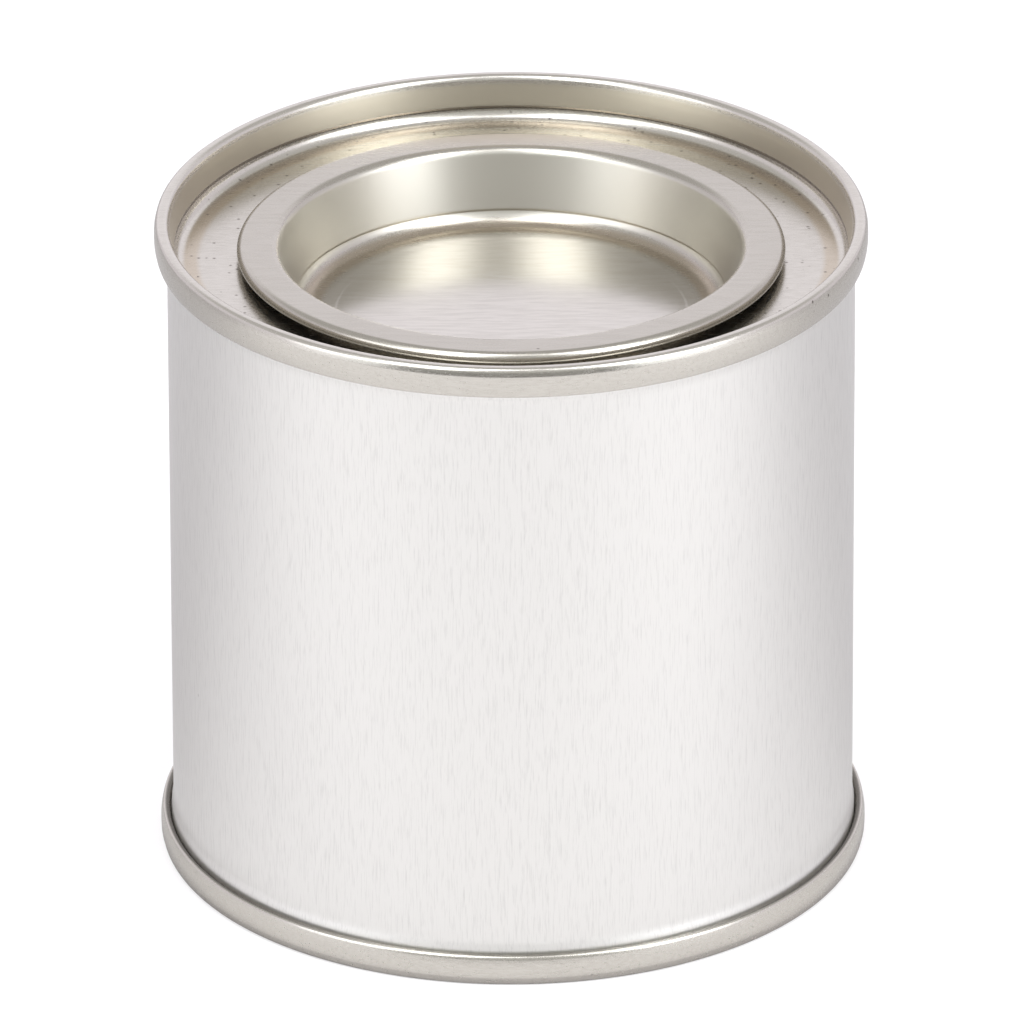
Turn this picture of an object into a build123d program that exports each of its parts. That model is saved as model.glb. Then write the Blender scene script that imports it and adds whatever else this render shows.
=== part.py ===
"""A small round tin with a press-in lever lid, made of pressed and rolled tinplate.

Millimetres, +Z up. The tin stands on z = 0 and its axis is the Z axis. Every sheet
piece is drawn as the middle line of its sheet, in (radius, height) corners with a
bend radius each, then given its gauge and turned once about the axis.
"""
from build123d import *
from math import ceil, hypot
import os

# the tin as a whole
seam_diameter = 65.1        # over the two double seams
tin_height = 62.0

# sheet gauges
body_gauge = 0.24
end_gauge = 0.28
lid_gauge = 0.30

# double seams
seam_height = 3.0
seam_gap = 0.10             # left between neighbouring layers of a seam
seam_ease = 0.32            # corner taken off the outside of a seam
compound_depth = 0.42       # space over the body hook, where the sealing compound lies
hook_relief = 0.30          # left past the cut edge of each hook

# welded side seam, at the back
weld_width = 1.1
weld_proud = 0.08           # how far the lap stands off the wall
weld_margin = 0.6           # left between the lap and the double seams

# lever ring, seamed on top
ring_depth = 4.0            # from the top of the tin down to the ring's flat panel
ring_foot_bend = 1.3
neck_depth = 4.1            # how far the neck reaches below the panel

# base end, seamed on below
base_depth = 3.4            # from the foot up to the base panel

# plug lid
lid_drop = 2.4              # from the top of the tin down to the top of the lid
cup_mouth_diameter = 42.4   # where the cup's wall would meet the top of the flange
cup_taper = 1.95            # how far the cup's wall leans in by the time it meets the floor
cup_depth = 6.45
flange_width = 3.8          # from the cup's mouth out to the edge
curl_height = 1.2           # the flange's edge is rolled under into a closed curl
curl_width = 0.9
curl_ease = 0.35
mouth_bend = 0.8
cup_foot_bend = 3.0
lid_fit = 0.06              # between the lid's wall and the neck

bend_run = 2.6              # longest straight run that a rounded bend is drawn with


def bent_path(corners):
    """The points of a path through (radius, height, bend) corners, its bends in straight runs."""
    places = [corner[:2] for corner in corners]
    bends = [corner[2] for corner in corners[1:-1]]
    line = FilletPolyline(*places, radius=bends)
    points = [line @ 0]
    for edge in line.edges():
        runs = ceil(edge.length / bend_run) if edge.geom_type == GeomType.CIRCLE else 1
        points += [edge @ (run / runs) for run in range(1, runs + 1)]
    return points


def pressed_sheet(points, gauge):
    """The outline of a sheet of one gauge along its middle line, with mitred corners."""
    runs = [(after - before).normalized() for before, after in zip(points, points[1:])]
    sides = [run.rotate(Axis.Z, 90) for run in runs]
    mitres = [sides[0]]
    for before, after in zip(sides, sides[1:]):
        mitres.append((before + after) / (1 + before.dot(after)))
    mitres.append(sides[-1])
    half = gauge / 2
    left = [point + mitre * half for point, mitre in zip(points, mitres)]
    right = [point - mitre * half for point, mitre in zip(points, mitres)]
    return make_face(Polyline(*left, *reversed(right), close=True))


def turned(outline):
    """A (radius, height) outline turned once round the tin's axis."""
    return revolve(Plane.XZ * outline, Axis.Z)


def eased(outline, corners, length):
    """The outline with its corners at these places taken off."""
    near = [outline.vertices().sort_by_distance(corner)[0] for corner in corners]
    return chamfer(near, length)


def from_top(depth):
    return tin_height - depth


def from_foot(depth):
    return depth


# layers of a double seam at the middle of their gauge, from the outside in
seam_radius = seam_diameter / 2
cover_radius = seam_radius - end_gauge / 2
body_hook_radius = seam_radius - end_gauge - seam_gap - body_gauge / 2
cover_hook_radius = body_hook_radius - body_gauge / 2 - seam_gap - end_gauge / 2
wall_radius = cover_hook_radius - end_gauge / 2 - seam_gap - body_gauge / 2
chuck_radius = wall_radius - body_gauge / 2 - seam_gap - end_gauge / 2

# depths in a double seam, from its outer face inwards
crown_depth = end_gauge / 2
body_turn_depth = end_gauge + compound_depth + body_gauge / 2
cover_hook_tip = body_turn_depth + body_gauge / 2 + hook_relief
cover_turn_depth = seam_height - end_gauge / 2
body_hook_tip = seam_height - end_gauge - hook_relief

# levels at the middle of the gauge
ring_panel_level = from_top(ring_depth + end_gauge / 2)
base_panel_level = from_foot(base_depth + end_gauge / 2)
flange_level = from_top(lid_drop + lid_gauge / 2)
cup_floor_level = flange_level - cup_depth

# the cup's wall is a slanting line, and touches the neck where the neck begins
cup_mouth_radius = (cup_mouth_diameter + lid_gauge) / 2
cup_foot_radius = cup_mouth_radius - cup_taper
flange_radius = cup_mouth_diameter / 2 + flange_width
cup_slope = cup_taper / cup_depth
cup_outside = cup_mouth_radius + lid_gauge / 2 * hypot(1, cup_slope)
seat_level = from_top(ring_depth)
seat_radius = cup_outside - cup_slope * (flange_level - seat_level)
neck_radius = seat_radius + lid_fit + end_gauge / 2


def seam_cover(side):
    """An end's part of a double seam, from the cut edge of its hook to the top of its wall.

    side turns a depth in the seam into a height in the tin.
    """
    return [
        (cover_hook_radius, side(cover_hook_tip), 0),
        (cover_hook_radius, side(cover_turn_depth), 0),
        (cover_radius, side(cover_turn_depth), 0),
        (cover_radius, side(crown_depth), 0),
        (chuck_radius, side(crown_depth), 0),
    ]


def body_wall():
    """The rolled wall, its ends folded out and back as the body hooks, with its side weld."""
    fold = [
        (body_hook_radius, body_hook_tip, 0),
        (body_hook_radius, body_turn_depth, 0),
        (wall_radius, body_turn_depth, 0),
    ]
    lower = [(radius, from_foot(depth), bend) for radius, depth, bend in fold]
    upper = [(radius, from_top(depth), bend) for radius, depth, bend in reversed(fold)]
    wall = turned(pressed_sheet(bent_path(lower + upper), body_gauge))

    # the lap of the weld stands a little proud of the wall, along the back
    outer_radius = wall_radius + body_gauge / 2
    lap_height = tin_height - 2 * (seam_height + weld_margin)
    sleeve = Circle(outer_radius + weld_proud) - Circle(wall_radius)
    strip = sleeve & Pos(0, outer_radius) * Rectangle(weld_width, outer_radius)
    lap = Pos(0, 0, tin_height / 2) * extrude(strip, lap_height / 2, both=True)
    return wall + lap


def lever_ring():
    """The top end: seamed to the wall, dished to a flat panel, with a neck that grips the lid."""
    path = seam_cover(from_top) + [
        (chuck_radius, ring_panel_level, ring_foot_bend),
        (neck_radius, ring_panel_level, 0),
        (neck_radius, ring_panel_level - neck_depth, 0),
    ]
    outline = pressed_sheet(bent_path(path), end_gauge)
    crown = [(seam_radius, tin_height), (chuck_radius - end_gauge / 2, tin_height)]
    return turned(eased(outline, crown, seam_ease))


def base_end():
    """The bottom end: the same seam turned over, with a raised panel that keeps off the table."""
    path = seam_cover(from_foot) + [
        (chuck_radius, base_panel_level, 0),
        (0, base_panel_level, 0),
    ]
    outline = pressed_sheet(bent_path(path), end_gauge)
    return turned(eased(outline, [(seam_radius, 0)], seam_ease))


def plug_lid():
    """The lever lid: a flange with a curled edge round a cup that wedges into the neck."""
    path = [
        (flange_radius, flange_level, 0),
        (cup_mouth_radius, flange_level, mouth_bend),
        (cup_foot_radius, cup_floor_level, cup_foot_bend),
        (0, cup_floor_level, 0),
    ]
    lid_top = from_top(lid_drop)
    curl_middle = (flange_radius - curl_width / 2, lid_top - curl_height / 2)
    outline = pressed_sheet(bent_path(path), lid_gauge)
    outline += Pos(*curl_middle) * Rectangle(curl_width, curl_height)
    return turned(eased(outline, [(flange_radius, lid_top)], curl_ease))


nodes = {
    "body_wall": body_wall(),
    "lever_ring": lever_ring(),
    "base_end": base_end(),
    "plug_lid": plug_lid(),
}

os.makedirs("parts", exist_ok=True)
for name, shape in nodes.items():
    shape.label = name
    export_step(shape, f"parts/{name}.step")
    print(name, shape.volume, shape.bounding_box().size)
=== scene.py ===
import bpy
import bmesh
from math import atan2, ceil, cos, pi, radians, sin, tan
from mathutils import Matrix, Vector


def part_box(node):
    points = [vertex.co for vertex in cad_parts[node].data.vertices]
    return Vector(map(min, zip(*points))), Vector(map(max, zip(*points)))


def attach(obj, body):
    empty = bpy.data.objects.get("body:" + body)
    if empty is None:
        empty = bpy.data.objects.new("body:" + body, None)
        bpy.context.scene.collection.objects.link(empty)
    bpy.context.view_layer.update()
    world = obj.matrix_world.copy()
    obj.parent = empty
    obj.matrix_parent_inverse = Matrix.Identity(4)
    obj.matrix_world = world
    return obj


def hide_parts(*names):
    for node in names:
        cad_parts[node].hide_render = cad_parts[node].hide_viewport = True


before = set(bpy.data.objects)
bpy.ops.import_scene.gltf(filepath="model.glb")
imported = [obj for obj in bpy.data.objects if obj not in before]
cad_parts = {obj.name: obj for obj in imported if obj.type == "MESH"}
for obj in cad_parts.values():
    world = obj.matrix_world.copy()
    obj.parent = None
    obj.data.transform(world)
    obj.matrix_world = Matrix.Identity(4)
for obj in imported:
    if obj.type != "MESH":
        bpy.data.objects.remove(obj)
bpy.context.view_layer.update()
scene = bpy.context.scene
mm = 0.001

# the tin's own places come from the frame
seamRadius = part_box("lever_ring")[1].x / mm
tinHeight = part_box("lever_ring")[1].z / mm
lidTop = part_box("plug_lid")[1].z / mm
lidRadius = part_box("plug_lid")[1].x / mm

seam = {                  # the double seams, which the wall and both ends share, in mm
    "endGauge": 0.28,
    "bodyGauge": 0.24,
    "gap": 0.06,          # between neighbouring layers
    "height": 2.88,
    "hookBend": 0.35,
    "outerBend": 0.32,    # of the crown, on the side of the rolled face
    "innerBend": 0.40,    # and on the side of the chuck wall, which leans in from there
    "chuckLean": 0.25,
    "shoulderIn": (0.20, 0.04),       # the rolled face leans in from its middle up to the crown
    "shoulderDepth": 0.80,
    "shoulderBend": 2.8,
    "middleDepth": 1.5,
    "middleBend": 12,
    "heelIn": (0.19, 0.05),           # and down to its heel
    "heelOver": 0.70,
    "compoundDepth": 0.42,
    "relief": 0.30,       # past the cut edge of each hook
}

spinSteps = 288
bendStep = radians(9)     # a bend gets one facet for each of these
holdLength = 0.16         # mm, the narrow facets beside a bend, that keep the flats flat
holdOver = 0.9            # mm, runs longer than this get them
mergeOver = 0.001         # mm, points of a turned sheet nearer than this are one

print("frame loaded")


# sheet metal

def turnAt(before, here, after):
    # the angle that a path turns by at a corner
    inward = atan2(here[1] - before[1], here[0] - before[0])
    outward = atan2(after[1] - here[1], after[0] - here[0])
    return abs((outward - inward + pi) % (2 * pi) - pi)


def holdEnds(bm, edge):
    # cuts a narrow facet off both ends of a long run
    share = holdLength * mm / edge.calc_length()
    cut = bmesh.ops.bisect_edges(bm, edges=[edge], cuts=1, edge_percents={edge: share})
    newVert, *runs = cut["geom_split"]
    rest = max(runs, key=lambda run: run.calc_length())
    share = holdLength * mm / rest.calc_length()
    if rest.verts[0] == newVert:
        share = 1 - share
    bmesh.ops.bisect_edges(bm, edges=[rest], cuts=1, edge_percents={rest: share})


def bentPath(corners):
    # a bmesh of one wire through (radius, height, bend) corners, its bends rounded
    bm = bmesh.new()
    verts = [bm.verts.new((radius * mm, 0, height * mm)) for radius, height, bend in corners]
    for start, end in zip(verts, verts[1:]):
        bm.edges.new((start, end))
    for index in range(1, len(corners) - 1):
        bend = corners[index][2]
        turn = turnAt(*corners[index - 1:index + 2])
        if bend:
            bmesh.ops.bevel(bm, geom=[verts[index]], affect="VERTICES", offset_type="OFFSET",
                            offset=bend * mm * tan(turn / 2), profile=0.5, material=-1,
                            segments=max(2, ceil(turn / bendStep)))
    for edge in [e for e in bm.edges if e.calc_length() > holdOver * mm]:
        holdEnds(bm, edge)
    return bm


def addPiece(name, bm):
    for face in bm.faces:
        face.smooth = True
    mesh = bpy.data.meshes.new(name)
    bm.to_mesh(mesh)
    bm.free()
    piece = bpy.data.objects.new(name, mesh)
    scene.collection.objects.link(piece)
    return piece


def pressedSheet(name, corners, gauge):
    bm = bentPath(corners)
    bmesh.ops.spin(bm, geom=bm.verts[:] + bm.edges[:], cent=(0, 0, 0), axis=(0, 0, 1), angle=2 * pi,
                   steps=spinSteps, use_merge=True)
    bmesh.ops.remove_doubles(bm, verts=bm.verts, dist=mergeOver * mm)
    bmesh.ops.recalc_face_normals(bm, faces=bm.faces)
    piece = addPiece(name, bm)
    thickness = piece.modifiers.new("gauge", "SOLIDIFY")
    thickness.thickness = gauge * mm
    thickness.offset = 0
    thickness.use_even_offset = True
    return piece


# radii of the seams' layers at the middle of their gauge, from the outside in
coverRadius = seamRadius - seam["endGauge"] / 2
bodyHookRadius = seamRadius - seam["endGauge"] - seam["gap"] - seam["bodyGauge"] / 2
coverHookRadius = bodyHookRadius - seam["bodyGauge"] / 2 - seam["gap"] - seam["endGauge"] / 2
wallRadius = coverHookRadius - seam["endGauge"] / 2 - seam["gap"] - seam["bodyGauge"] / 2
chuckRadius = wallRadius - seam["bodyGauge"] / 2 - seam["gap"] - seam["endGauge"] / 2


def fromTop(depth):
    return tinHeight - depth


def fromFoot(depth):
    return depth


def seamCover(side):
    # an end's part of a double seam, from the cut edge of its hook up and over to its inner wall
    crown = seam["endGauge"] / 2
    turnDepth = seam["height"] - seam["endGauge"] / 2
    hookTip = seam["endGauge"] + seam["compoundDepth"] + seam["bodyGauge"] + seam["relief"]
    return [
        (coverHookRadius, side(hookTip), 0),
        (coverHookRadius, side(turnDepth), seam["hookBend"]),
        (coverRadius - seam["heelIn"][0], side(turnDepth), seam["outerBend"]),
        (coverRadius - seam["heelIn"][1], side(turnDepth - seam["heelOver"]), seam["shoulderBend"]),
        (coverRadius, side(seam["middleDepth"]), seam["middleBend"]),
        (coverRadius - seam["shoulderIn"][1], side(seam["shoulderDepth"]), seam["shoulderBend"]),
        (coverRadius - seam["shoulderIn"][0], side(crown), seam["outerBend"]),
        (chuckRadius + seam["chuckLean"], side(crown), seam["innerBend"]),
    ]


# body wall

wall = {                  # mm
    "weldWidth": 1.1,
    "weldProud": 0.08,
    "weldMargin": 0.6,
    "weldSteps": 6,       # facets across its width
    "weldEdgeSteps": 2,   # and round each of its edges
    "drawnIn": 0.20,      # the wall is a little smaller below the seams
    "drawnFrom": 0.15,    # past a seam
    "drawnOver": 0.8,
    "drawnBend": 2.5,
}


def makeWall():
    turnDepth = seam["endGauge"] + seam["compoundDepth"] + seam["bodyGauge"] / 2
    hookTip = seam["height"] - seam["endGauge"] - seam["relief"]
    drawn = seam["height"] + wall["drawnFrom"]
    fold = [
        (bodyHookRadius, hookTip, 0),
        (bodyHookRadius, turnDepth, seam["hookBend"]),
        (wallRadius, turnDepth, seam["hookBend"]),
        (wallRadius, drawn, wall["drawnBend"]),
        (wallRadius - wall["drawnIn"], drawn + wall["drawnOver"], wall["drawnBend"]),
    ]
    upper = [(radius, fromTop(depth), bend) for radius, depth, bend in reversed(fold)]
    return pressedSheet("bodyWall", fold + upper, seam["bodyGauge"])


def makeWeld():
    # the lap of the side seam: a strip of the wall's own curve, a little proud along the back
    radius = wallRadius - wall["drawnIn"] + seam["bodyGauge"] / 2
    margin = seam["height"] + wall["weldMargin"]
    halfTurn = wall["weldWidth"] / radius / 2
    bm = bmesh.new()
    low = bm.verts.new((0, radius * mm, margin * mm))
    high = bm.verts.new((0, radius * mm, fromTop(margin) * mm))
    line = bm.edges.new((low, high))
    bmesh.ops.rotate(bm, verts=bm.verts, cent=(0, 0, 0), matrix=Matrix.Rotation(-halfTurn, 3, "Z"))
    bmesh.ops.spin(bm, geom=[low, high, line], cent=(0, 0, 0), axis=(0, 0, 1), angle=2 * halfTurn,
                   steps=wall["weldSteps"])
    bmesh.ops.recalc_face_normals(bm, faces=bm.faces)
    piece = addPiece("sideWeld", bm)
    lap = piece.modifiers.new("lap", "SOLIDIFY")
    lap.thickness = 2 * wall["weldProud"] * mm
    lap.offset = 0
    edge = piece.modifiers.new("edge", "BEVEL")
    edge.width = wall["weldProud"] / 2 * mm
    edge.segments = wall["weldEdgeSteps"]
    edge.limit_method = "ANGLE"
    return piece


# lever ring

ring = {                  # mm
    "hollowRadius": 31.11,            # the chuck wall is steeper below this
    "hollowDepth": 1.45,
    "hollowBend": 8,
    "footRadius": 30.86,  # and ends in a small ridge
    "footDepth": 2.80,
    "footEdge": 0.05,
    "grooveWidth": 0.03,  # the groove below the ridge
    "grooveDepth": 0.20,
    "grooveBend": 0.22,
    "coveLean": 0.20,
    "coveBend": 1.05,
    "depth": 4.0,         # from the top of the tin down to the panel, at its outer edge
    "sag": 0.12,          # the panel dips this much towards the neck
    "sagRadius": 26.0,
    "sagShare": 0.8,      # of the dip, reached at that radius
    "sagBend": 60,
    "neckBend": 0.45,
    "neckRadius": 21.27,
    "neckDepth": 3.6,
}


def makeRing():
    panel = fromTop(ring["depth"] + seam["endGauge"] / 2)
    foot = fromTop(ring["footDepth"])
    groove = ring["footRadius"] + ring["grooveWidth"]
    corners = seamCover(fromTop) + [
        (ring["hollowRadius"], fromTop(ring["hollowDepth"]), ring["hollowBend"]),
        (ring["footRadius"], foot, ring["footEdge"]),
        (groove, foot - ring["grooveDepth"], ring["grooveBend"]),
        (groove - ring["coveLean"], panel, ring["coveBend"]),
        (ring["sagRadius"], panel - ring["sagShare"] * ring["sag"], ring["sagBend"]),
        (ring["neckRadius"], panel - ring["sag"], ring["neckBend"]),
        (ring["neckRadius"], panel - ring["sag"] - ring["neckDepth"], 0),
    ]
    return pressedSheet("leverRing", corners, seam["endGauge"])


# base end

base = {                  # mm
    "depth": 3.4,         # from the foot up to the panel
    "footBend": 0.6,
}


def makeBase():
    panel = fromFoot(base["depth"] + seam["endGauge"] / 2)
    corners = seamCover(fromFoot) + [
        (chuckRadius, panel, base["footBend"]),
        (0, panel, 0),
    ]
    return pressedSheet("baseEnd", corners, seam["endGauge"])


# plug lid

lid = {                   # mm
    "gauge": 0.30,
    "curlWidth": 1.0,
    "curlHeight": 1.08,
    "curlBend": 0.22,
    "edgeBend": 0.55,
    "curlRelief": 0.1,    # under the flange
    "mouthRadius": 21.35,
    "mouthBend": 0.75,
    "taper": 1.95,
    "cupDepth": 7.0,
    "footDepth": 5.35,    # where the wall ends in a fine crease
    "footEdge": 0.05,
    "creaseWidth": 0.05,
    "creaseDepth": 0.20,
    "creaseBend": 0.22,
    "footBend": 1.9,
    "floorFall": 0.10,    # from the foot of the wall in to the step
    "stepRadius": 15.95,  # the middle of the floor is a shallow step lower
    "stepWidth": 0.22,
    "stepDepth": 0.02,
    "stepBend": 0.4,
    "bowl": 0.08,         # and dips this much in its middle
    "bowlSteps": 16,
    "tilt": 0.9,          # degrees: its far side is pressed in a little deeper
    "tiltLevel": 58.0,    # height of the axis it is tilted about
}


def makeLid():
    half = lid["gauge"] / 2
    flange = lidTop - half
    outer = lidRadius - half
    inner = lidRadius - lid["curlWidth"] + half
    under = lidTop - lid["curlHeight"] + half
    floor = flange - lid["cupDepth"]
    middle = floor - lid["stepDepth"]
    foot = flange - lid["footDepth"]
    footRadius = lid["mouthRadius"] - lid["taper"] * lid["footDepth"] / lid["cupDepth"]
    bendRadius = lid["mouthRadius"] - lid["taper"] + lid["creaseWidth"]
    corners = [
        (inner, flange - lid["gauge"] - lid["curlRelief"], 0),
        (inner, under, lid["curlBend"]),
        (outer, under, lid["curlBend"]),
        (outer, flange, lid["edgeBend"]),
        (lid["mouthRadius"], flange, lid["mouthBend"]),
        (footRadius, foot, lid["footEdge"]),
        (footRadius + lid["creaseWidth"], foot - lid["creaseDepth"], lid["creaseBend"]),
        (bendRadius, floor + lid["floorFall"], lid["footBend"]),
        (lid["stepRadius"] + lid["stepWidth"], floor, lid["stepBend"]),
        (lid["stepRadius"], middle, lid["stepBend"]),
    ]
    bowlRadius = lid["stepRadius"] - lid["stepBend"]
    for step in range(lid["bowlSteps"] + 1):
        radius = bowlRadius * (1 - step / lid["bowlSteps"])
        corners.append((radius, middle - lid["bowl"] * (1 - (radius / bowlRadius) ** 2), 0))
    piece = pressedSheet("plugLid", corners, lid["gauge"])
    pivot = Matrix.Translation((0, 0, lid["tiltLevel"] * mm))
    piece.data.transform(pivot @ Matrix.Rotation(-radians(lid["tilt"]), 4, "X") @ pivot.inverted())
    return piece


# materials

def nodeGroup(name, inputs, outputs):
    group = bpy.data.node_groups.new(name, "ShaderNodeTree")
    for socketName, kind, value in inputs:
        socket = group.interface.new_socket(socketName, in_out="INPUT", socket_type=kind)
        if value is not None:
            socket.default_value = value
    for socketName, kind in outputs:
        group.interface.new_socket(socketName, in_out="OUTPUT", socket_type=kind)
    return group, group.nodes.new("NodeGroupInput"), group.nodes.new("NodeGroupOutput")


def addNode(tree, kind, settings=None, values=None):
    node = tree.nodes.new("ShaderNode" + kind)
    for name, value in (settings or {}).items():
        setattr(node, name, value)
    for name, value in (values or {}).items():
        node.inputs[name].default_value = value
    return node


def mixed(tree, share, first, second):
    # first going over into second; each is a colour or a socket that gives one
    node = addNode(tree, "Mix", {"data_type": "RGBA"})
    tree.links.new(share, node.inputs[0])
    for socket, value in ((node.inputs[6], first), (node.inputs[7], second)):
        if isinstance(value, tuple):
            socket.default_value = (*value, 1)
        else:
            tree.links.new(value, socket)
    return node.outputs[2]


def timesOf(tree, first, second):
    node = addNode(tree, "Math", {"operation": "MULTIPLY"})
    tree.links.new(first, node.inputs[0])
    tree.links.new(second, node.inputs[1])
    return node.outputs["Value"]


def makeRollingMarks():
    # fine marks of the rolling mill: noise drawn out along one direction
    group, inlet, outlet = nodeGroup(
        "rollingMarks",
        [("Vector", "NodeSocketVector", None), ("Stretch", "NodeSocketVector", (1, 1, 1))],
        [("Mask", "NodeSocketFloat")],
    )
    stretch = addNode(group, "VectorMath", {"operation": "MULTIPLY"})
    noise = addNode(group, "TexNoise", None, {"Scale": 1.0, "Detail": 4.0, "Roughness": 0.6})
    links = group.links
    links.new(inlet.outputs["Vector"], stretch.inputs[0])
    links.new(inlet.outputs["Stretch"], stretch.inputs[1])
    links.new(stretch.outputs["Vector"], noise.inputs["Vector"])
    links.new(noise.outputs["Fac"], outlet.inputs["Mask"])
    return group


def makeTinSpecks():
    # scattered small dots, where the tin is pitted or dirty
    group, inlet, outlet = nodeGroup(
        "tinSpecks",
        [("Vector", "NodeSocketVector", None), ("Scale", "NodeSocketFloat", 500.0),
         ("Size", "NodeSocketFloat", 0.2), ("Share", "NodeSocketFloat", 0.05)],
        [("Mask", "NodeSocketFloat")],
    )
    cells = addNode(group, "TexVoronoi", {"feature": "F1"})
    dots = addNode(group, "MapRange", {"interpolation_type": "SMOOTHSTEP"},
                   {"To Min": 1.0, "To Max": 0.0})
    chosen = addNode(group, "Math", {"operation": "LESS_THAN"})
    split = addNode(group, "SeparateColor")
    links = group.links
    links.new(inlet.outputs["Vector"], cells.inputs["Vector"])
    links.new(inlet.outputs["Scale"], cells.inputs["Scale"])
    links.new(cells.outputs["Distance"], dots.inputs["Value"])
    links.new(inlet.outputs["Size"], dots.inputs["From Max"])
    links.new(cells.outputs["Color"], split.inputs["Color"])
    links.new(split.outputs["Red"], chosen.inputs[0])
    links.new(inlet.outputs["Share"], chosen.inputs[1])
    both = timesOf(group, dots.outputs["Result"], chosen.outputs["Value"])
    links.new(both, outlet.inputs["Mask"])
    return group


def smoothRange(tree, socket, start, end, outcome=(0.0, 1.0)):
    node = addNode(tree, "MapRange", {"interpolation_type": "SMOOTHSTEP"},
                   {"From Min": start, "From Max": end, "To Min": outcome[0], "To Max": outcome[1]})
    tree.links.new(socket, node.inputs["Value"])
    return node.outputs["Result"]


def makeBand(tree, socket, stops):
    # 1 between the second and the third of four values, and 0 outside the first and last
    come = smoothRange(tree, socket, *stops[:2])
    go = smoothRange(tree, socket, *stops[2:], (1.0, 0.0))
    return timesOf(tree, come, go)


def placeAround(tree, place):
    # how far back a place is, its height, and its distance from the tin's axis
    split = addNode(tree, "SeparateXYZ")
    level = addNode(tree, "CombineXYZ")
    radius = addNode(tree, "VectorMath", {"operation": "LENGTH"})
    tree.links.new(place, split.inputs["Vector"])
    tree.links.new(split.outputs["X"], level.inputs["X"])
    tree.links.new(split.outputs["Y"], level.inputs["Y"])
    tree.links.new(level.outputs["Vector"], radius.inputs[0])
    return split.outputs["Y"], split.outputs["Z"], radius.outputs["Value"]


def scattered(tree, place, spread, allowed=None):
    # specks of one scale, size and share, where a mask allows them
    specks = addNode(tree, "Group", {"node_tree": tinSpecks},
                     dict(zip(("Scale", "Size", "Share"), spread)))
    tree.links.new(place, specks.inputs["Vector"])
    mask = specks.outputs["Mask"]
    return mask if allowed is None else timesOf(tree, mask, allowed)


def makeParts(name, parts):
    # a mask for each part of a turned piece, told by its heights and radii
    group, inlet, outlet = nodeGroup(
        name,
        [("Vector", "NodeSocketVector", None)],
        [(part, "NodeSocketFloat") for part in parts],
    )
    depth, height, radius = placeAround(group, inlet.outputs["Vector"])
    for part, setup in parts.items():
        level = makeBand(group, height, setup["heights"])
        around = makeBand(group, radius, setup["radii"])
        group.links.new(timesOf(group, level, around), outlet.inputs[part])
    return group


rollingMarks = makeRollingMarks()
tinSpecks = makeTinSpecks()

glossRange = (0.35, 0.65)   # of the rolling marks, from the roughest to the smoothest
reliefDepth = 0.00002       # metres, of marks and specks at full bump

wallFinish = {
    "color": (0.765, 0.755, 0.728),
    "markColor": (0.665, 0.655, 0.632),
    "markRange": (0.26, 0.50),
    "speckColor": (0.22, 0.20, 0.17),
    "roughness": (0.34, 0.42),
    "stretch": (7000, 7000, 450),
    "specks": (420, 0.12, 0.010),
    "bump": 0.03,
}
endFinish = {
    "color": (0.595, 0.57, 0.52),
    "markColor": (0.56, 0.535, 0.485),
    "markRange": (0.38, 0.58),
    "speckColor": (0.10, 0.085, 0.07),
    "roughness": (0.22, 0.28),
    "stretch": (700, 5200, 5200),
    "specks": (700, 0.16, 0.03),
    "bump": 0.03,
    "parts": {            # heights and radii between which each comes and goes, in metres
        "chuck": {        # the chuck wall is rougher where the sheet was drawn, and its colour is painted darker and yellower: painted shade for its dim reflections down the recess
            "heights": (0.0591, 0.0593, 0.0610, 0.0615),
            "radii": (0, 0.001, 0.0313, 0.0316),
            "color": (0.51, 0.47, 0.385),
            "roughness": 0.36,
        },
        "cove": {         # the panel is painted a little brown beside the cove: painted shade for its darker reflections there
            "heights": (0.0560, 0.0562, 0.0584, 0.0588),
            "radii": (0.0282, 0.0289, 0.0296, 0.0301),
            "color": (0.53, 0.47, 0.385),
        },
        "crease": {       # a fine dark line at the chuck wall's foot: painted shade in the crease
            "heights": (0.05884, 0.05893, 0.05915, 0.05923),
            "radii": (0, 0.001, 0.0313, 0.0316),
            "color": (0.24, 0.22, 0.19),
        },
        "ledge": {        # and painted shade on top of the foot's seam, where it meets the wall
            "heights": (0.00262, 0.00270, 0.0032, 0.0034),
            "radii": (0, 0.001, 0.0320, 0.0323),
            "color": (0.15, 0.14, 0.12),
        },
        "neck": {         # the neck is lacquered, as the inside is
            "heights": (0.0500, 0.0502, 0.0583, 0.0585),
            "radii": (0, 0.001, 0.0217, 0.0221),
            "color": (0.74, 0.62, 0.45),
            "roughness": 0.42,
        },
        "panel": {        # the flat panel round the lid is pitted
            "heights": (0.0540, 0.0545, 0.0581, 0.0583),
            "radii": (0.0215, 0.0220, 0.0313, 0.0316),
            "pits": (1400, 0.33, 0.22),
            "color": (0.16, 0.14, 0.12),
        },
    },
}
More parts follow.
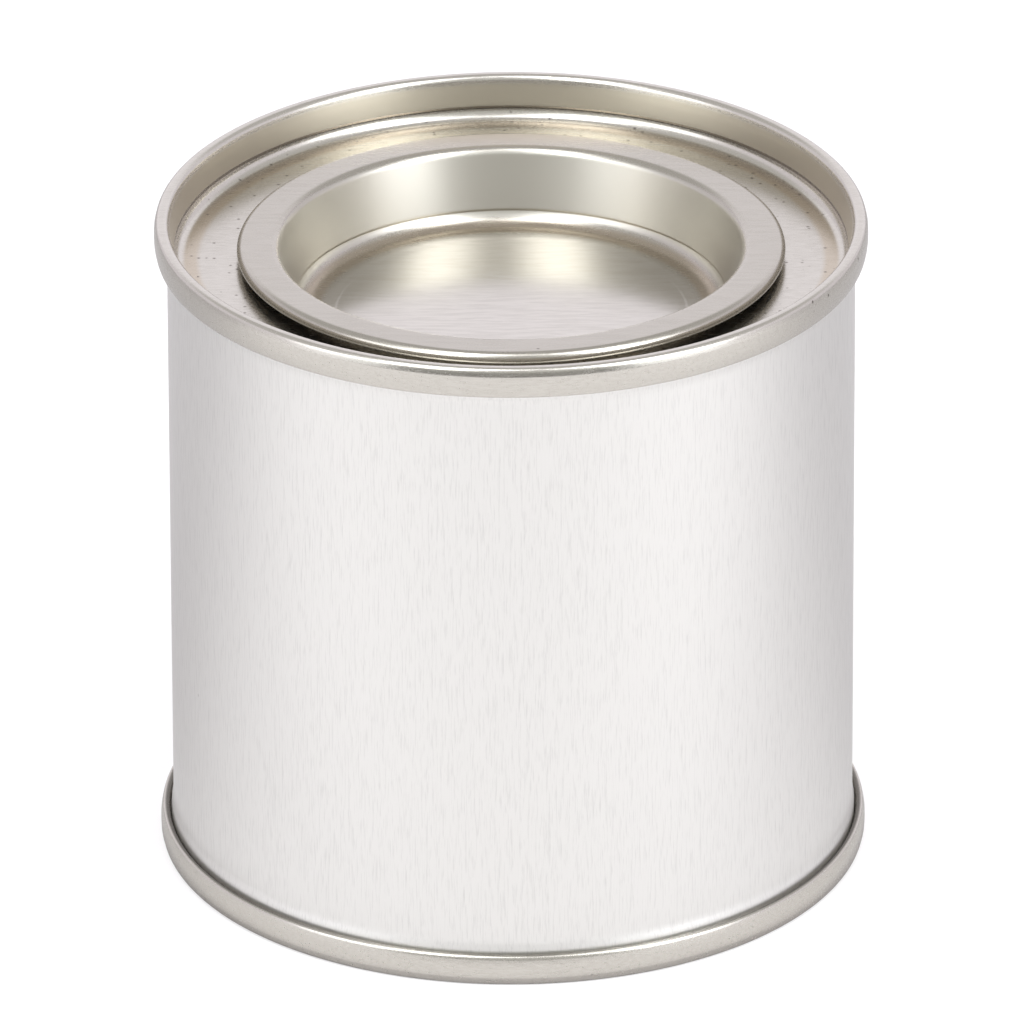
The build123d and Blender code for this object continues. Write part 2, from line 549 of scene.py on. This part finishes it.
lidFinish = {
    "color": (0.485, 0.46, 0.41),
    "markColor": (0.473, 0.448, 0.398),
    "markRange": (0.38, 0.58),
    "speckColor": (0.10, 0.085, 0.07),
    "roughness": (0.23, 0.29),
    "stretch": (300, 2400, 5500),
    "specks": (420, 0.10, 0.006),
    "bump": 0.05,
    "parts": {
        "wall": {         # the cup's wall is satin
            "heights": (0.0530, 0.0532, 0.0620, 0.0625),
            "radii": (0.0192, 0.0196, 0.0211, 0.0214),
            "color": (0.51, 0.49, 0.44),
            "roughness": 0.34,
        },
        "foot": {         # the bend round the cup's floor is painted a little brown: painted shade for its darker reflections
            "heights": (0.0515, 0.0517, 0.0540, 0.0543),
            "radii": (0.0172, 0.0179, 0.0189, 0.0194),
            "color": (0.43, 0.375, 0.30),
        },
        "floor": {        # and the floor is glossy, with plainer marks
            "heights": (0.0510, 0.0512, 0.0540, 0.0543),
            "radii": (-0.002, -0.001, 0.0166, 0.0174),
            "color": (0.60, 0.575, 0.53),
            "markColor": (0.55, 0.525, 0.48),
            "roughness": 0.17,
        },
        "under": {        # the lid is lacquered below
            "heights": (0.0570, 0.0572, 0.0591, 0.0593),
            "radii": (0.0215, 0.0218, 0.0243, 0.0245),
            "color": (0.74, 0.62, 0.45),
            "roughness": 0.42,
        },
    },
}


def tinplate(name, finish):
    # bright metal with rolling marks and specks, and on each part a finish of its own, some of them
    # painted shade
    material = bpy.data.materials.new(name)
    material.use_nodes = True
    tree = material.node_tree
    links = tree.links
    shader = tree.nodes["Principled BSDF"]
    shader.inputs["Metallic"].default_value = 1.0
    place = addNode(tree, "TexCoord").outputs["Object"]

    marks = addNode(tree, "Group", {"node_tree": rollingMarks}, {"Stretch": finish["stretch"]})
    links.new(place, marks.inputs["Vector"])
    sharpen = addNode(tree, "MapRange", None,
                      dict(zip(("From Min", "From Max"), finish["markRange"])))
    links.new(marks.outputs["Mask"], sharpen.inputs["Value"])
    tint = mixed(tree, sharpen.outputs["Result"], finish["markColor"], finish["color"])

    smooth, rough = finish["roughness"]
    gloss = addNode(tree, "MapRange", None, {"From Min": glossRange[0], "From Max": glossRange[1],
                                             "To Min": rough, "To Max": smooth})
    links.new(marks.outputs["Mask"], gloss.inputs["Value"])
    roughness = gloss.outputs["Result"]

    if "parts" in finish:
        masks = addNode(tree, "Group", {"node_tree": makeParts(name + "Parts", finish["parts"])})
        links.new(place, masks.inputs["Vector"])
        for part, setup in finish["parts"].items():
            mask, color = masks.outputs[part], setup["color"]
            if "pits" in setup:
                mask = scattered(tree, place, setup["pits"], mask)
            if "markColor" in setup:
                color = mixed(tree, sharpen.outputs["Result"], setup["markColor"], color)
            tint = mixed(tree, mask, tint, color)
            if "roughness" in setup:
                satin = addNode(tree, "Mix", {"data_type": "FLOAT"})
                links.new(mask, satin.inputs[0])
                links.new(roughness, satin.inputs[2])
                satin.inputs[3].default_value = setup["roughness"]
                roughness = satin.outputs[0]

    specks = scattered(tree, place, finish["specks"])
    links.new(mixed(tree, specks, tint, finish["speckColor"]), shader.inputs["Base Color"])
    links.new(roughness, shader.inputs["Roughness"])

    relief = addNode(tree, "Math", {"operation": "SUBTRACT"})
    links.new(marks.outputs["Mask"], relief.inputs[0])
    links.new(specks, relief.inputs[1])
    bump = addNode(tree, "Bump", None, {"Strength": finish["bump"], "Distance": reliefDepth})
    links.new(relief.outputs["Value"], bump.inputs["Height"])
    links.new(bump.outputs["Normal"], shader.inputs["Normal"])
    return material


wallTinplate = tinplate("wallTinplate", wallFinish)
endTinplate = tinplate("endTinplate", endFinish)
lidTinplate = tinplate("lidTinplate", lidFinish)
print("materials made")

for piece, node, material, slotName, body in (
    (makeWall(), "body_wall", wallTinplate, "wall_tinplate", "tin"),
    (makeRing(), "lever_ring", endTinplate, "end_tinplate", "tin"),
    (makeBase(), "base_end", endTinplate, "end_tinplate", "tin"),
    (makeLid(), "plug_lid", lidTinplate, "lid_tinplate", "lid"),
):
    piece.data.materials.append(material)
    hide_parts(node)
    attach(piece, body)
weld = makeWeld()
weld.data.materials.append(wallTinplate)
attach(weld, "tin")
print("tin made")


# studio

studio = {
    "camera": {               # degrees, metres, and the lens and sensor in mm
        "elevation": 25.8,
        "distance": 1.634,
        "lens": 626,
        "sensor": 36,
        "aimHeight": 0.0322,
        "roll": -0.19,
        "nearest": 0.05,      # what is closer to the camera isn't drawn
    },
    "floorSize": 4.0,
    "floorFront": -0.6,       # where the paper ends, before the tin
    "floorColor": (0.42, 0.407, 0.412),
    "floorRoughness": 0.9,
    "floorSpecular": 0.1,
    "floorGlow": 0.54,
    "floorShine": (0.465, 0.09),          # the glow that the tin mirrors, before it and behind it
    "floorShineOver": (-0.07, 0.05),
    "floorDark": (0.0325, 0.0345),        # right at the tin's foot there is none: a painted shadow in the glow that the tin mirrors
    "paperColor": (0.965, 0.925, 1.0),    # the backdrop all round
    "ceilingColor": (0.67, 0.66, 0.66),   # and above it
    "ceilingFrom": (0.50, 0.62),          # rise of a direction, where one becomes the other
    "roomColor": (0.66, 0.665, 0.64),     # the darker room in front of the tin
    "roomSpread": (-0.30, -0.75),         # Y of a direction, where it begins and is all there is
    "edgeColor": (0.06, 0.055, 0.05),     # and what shows past the paper's front edge
    "edgeRise": (0.05, 0.10),
}

lampColor = (0.935, 0.965, 1.0)
lampAim = (0, 0, 0.03)
softboxes = {                 # place and size in metres, power in watts
    "highLeft": {"at": (-0.38, -0.61, 0.97), "size": (0.48, 1.20), "power": 8.0},
    "highRight": {"at": (0.70, -0.61, 0.97), "size": (0.55, 1.20), "power": 8.8},
    "left": {"at": (-0.74, -0.55, 0.40), "size": (0.55, 0.70), "power": 2.4},
    "right": {"at": (0.74, -0.55, 0.40), "size": (0.55, 0.70), "power": 3.7},
    "behind": {"at": (0, 1.50, 0.70), "size": (1.90, 0.95), "power": 1.5},
}


def makeCamera():
    setup = studio["camera"]
    data = bpy.data.cameras.new("camera")
    data.lens = setup["lens"]
    data.sensor_width = setup["sensor"]
    data.clip_start = setup["nearest"]
    camera = bpy.data.objects.new("camera", data)
    scene.collection.objects.link(camera)
    tilt = radians(setup["elevation"])
    back, up = setup["distance"] * cos(tilt), setup["distance"] * sin(tilt)
    place = Matrix.Translation((0, -back, setup["aimHeight"] + up))
    camera.matrix_world = (place @ Matrix.Rotation(pi / 2 - tilt, 4, "X")
                           @ Matrix.Rotation(radians(setup["roll"]), 4, "Z"))
    scene.camera = camera


def aim(thing, target):
    thing.rotation_euler = (target - thing.location).to_track_quat("-Z", "Y").to_euler()


def makeSoftbox(name, setup):
    data = bpy.data.lights.new(name, "AREA")
    data.shape = "RECTANGLE"
    data.size, data.size_y = setup["size"]
    data.energy = setup["power"]
    data.color = lampColor
    light = bpy.data.objects.new(name, data)
    light.location = setup["at"]
    aim(light, Vector(lampAim))
    scene.collection.objects.link(light)


def makeFloor():
    bm = bmesh.new()
    half = studio["floorSize"] / 2
    bmesh.ops.create_grid(bm, x_segments=1, y_segments=1, size=half)
    bmesh.ops.translate(bm, verts=bm.verts, vec=(0, half + studio["floorFront"], 0))
    floor = addPiece("floor", bm)
    material = bpy.data.materials.new("floorPaper")
    material.use_nodes = True
    tree = material.node_tree
    shader = tree.nodes["Principled BSDF"]
    shader.inputs["Base Color"].default_value = (*studio["floorColor"], 1)
    shader.inputs["Roughness"].default_value = studio["floorRoughness"]
    shader.inputs["Specular IOR Level"].default_value = studio["floorSpecular"]
    shader.inputs["Emission Color"].default_value = (1, 1, 1, 1)
    path = addNode(tree, "LightPath")
    depth, height, radius = placeAround(tree, addNode(tree, "TexCoord").outputs["Object"])
    shine = smoothRange(tree, depth, *studio["floorShineOver"], studio["floorShine"])
    # the mirrored glow fades out at the tin's foot: a painted shadow
    around = timesOf(tree, shine, smoothRange(tree, radius, *studio["floorDark"]))
    mirrored = timesOf(tree, path.outputs["Is Glossy Ray"], around)
    glow = addNode(tree, "Math", {"operation": "MULTIPLY_ADD"})
    tree.links.new(path.outputs["Is Camera Ray"], glow.inputs[0])
    glow.inputs[1].default_value = studio["floorGlow"]
    tree.links.new(mirrored, glow.inputs[2])
    tree.links.new(glow.outputs["Value"], shader.inputs["Emission Strength"])
    floor.data.materials.append(material)


def makeWorld():
    # a pale backdrop all round and a darker room in front; the camera sees plain white
    world = bpy.data.worlds.new("studio")
    scene.world = world
    world.use_nodes = True
    tree = world.node_tree
    links = tree.links
    split = addNode(tree, "SeparateXYZ")
    links.new(addNode(tree, "TexCoord").outputs["Generated"], split.inputs["Vector"])
    rise, depth = split.outputs["Z"], split.outputs["Y"]
    low = smoothRange(tree, rise, *studio["edgeRise"])
    before = smoothRange(tree, depth, *studio["roomSpread"])
    high = smoothRange(tree, rise, *studio["ceilingFrom"])
    room = mixed(tree, low, studio["edgeColor"], studio["roomColor"])
    walls = mixed(tree, before, studio["paperColor"], room)
    tone = mixed(tree, high, walls, studio["ceilingColor"])
    path = addNode(tree, "LightPath")
    seen = mixed(tree, path.outputs["Is Camera Ray"], tone, (1, 1, 1))
    links.new(seen, tree.nodes["Background"].inputs["Color"])


makeCamera()
for name, setup in softboxes.items():
    makeSoftbox(name, setup)
makeFloor()
makeWorld()
scene.view_settings.view_transform = "Standard"
print("studio set")
